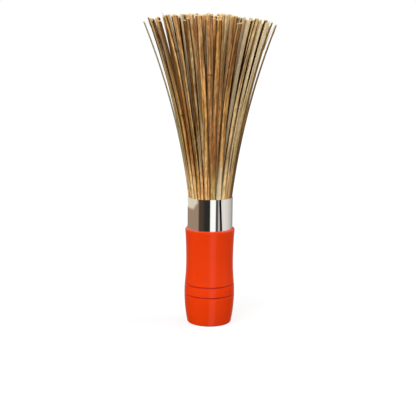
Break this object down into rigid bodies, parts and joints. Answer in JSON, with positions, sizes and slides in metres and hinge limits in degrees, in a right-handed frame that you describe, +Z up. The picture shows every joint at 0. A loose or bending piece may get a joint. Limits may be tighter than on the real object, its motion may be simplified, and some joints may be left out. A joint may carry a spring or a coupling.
{
  "type": "bamboo wok brush",
  "caption": "Wok brush: a fan of flat split-bamboo sticks bound by a polished steel ferrule and set in a moulded orange plastic handle with a flat base.",
  "frame": {"origin": "centre of the handle's flat base", "axes": "+Z up the brush's axis, from the base towards the tips of the sticks; the brush is turned about it, so +X and +Y are any two square directions"},
  "size_m": [0.1272, 0.1277, 0.3],
  "materials": {
    "handle_plastic": "moulded, semi-gloss",
    "ferrule_steel": "polished stainless steel",
    "bamboo": "raw split bamboo"
  },
  "bodies": {
    "root": {"core_stick": "bamboo", "ferrule": "ferrule_steel", "handle": "handle_plastic", "outer_stick_01": "bamboo", "outer_stick_02": "bamboo", "outer_stick_03": "bamboo", "outer_stick_04": "bamboo", "outer_stick_05": "bamboo", "outer_stick_06": "bamboo", "outer_stick_07": "bamboo", "outer_stick_08": "bamboo", "outer_stick_09": "bamboo", "outer_stick_10": "bamboo", "outer_stick_11": "bamboo", "outer_stick_12": "bamboo", "outer_stick_13": "bamboo", "outer_stick_14": "bamboo", "outer_stick_15": "bamboo", "outer_stick_16": "bamboo", "outer_stick_17": "bamboo", "outer_stick_18": "bamboo", "outer_stick_19": "bamboo", "outer_stick_20": "bamboo", "outer_stick_21": "bamboo", "outer_stick_22": "bamboo", "outer_stick_23": "bamboo", "outer_stick_24": "bamboo", "outer_stick_25": "bamboo", "outer_stick_26": "bamboo", "outer_stick_27": "bamboo", "outer_stick_28": "bamboo", "outer_stick_29": "bamboo", "outer_stick_30": "bamboo", "sticks_ring_2": "bamboo", "sticks_ring_3": "bamboo", "sticks_ring_4": "bamboo", "sticks_ring_5": "bamboo", "sticks_ring_6": "bamboo", "sticks_ring_7": "bamboo", "sticks_ring_8": "bamboo", "sticks_ring_9": "bamboo"}
  },
  "joints": []
}
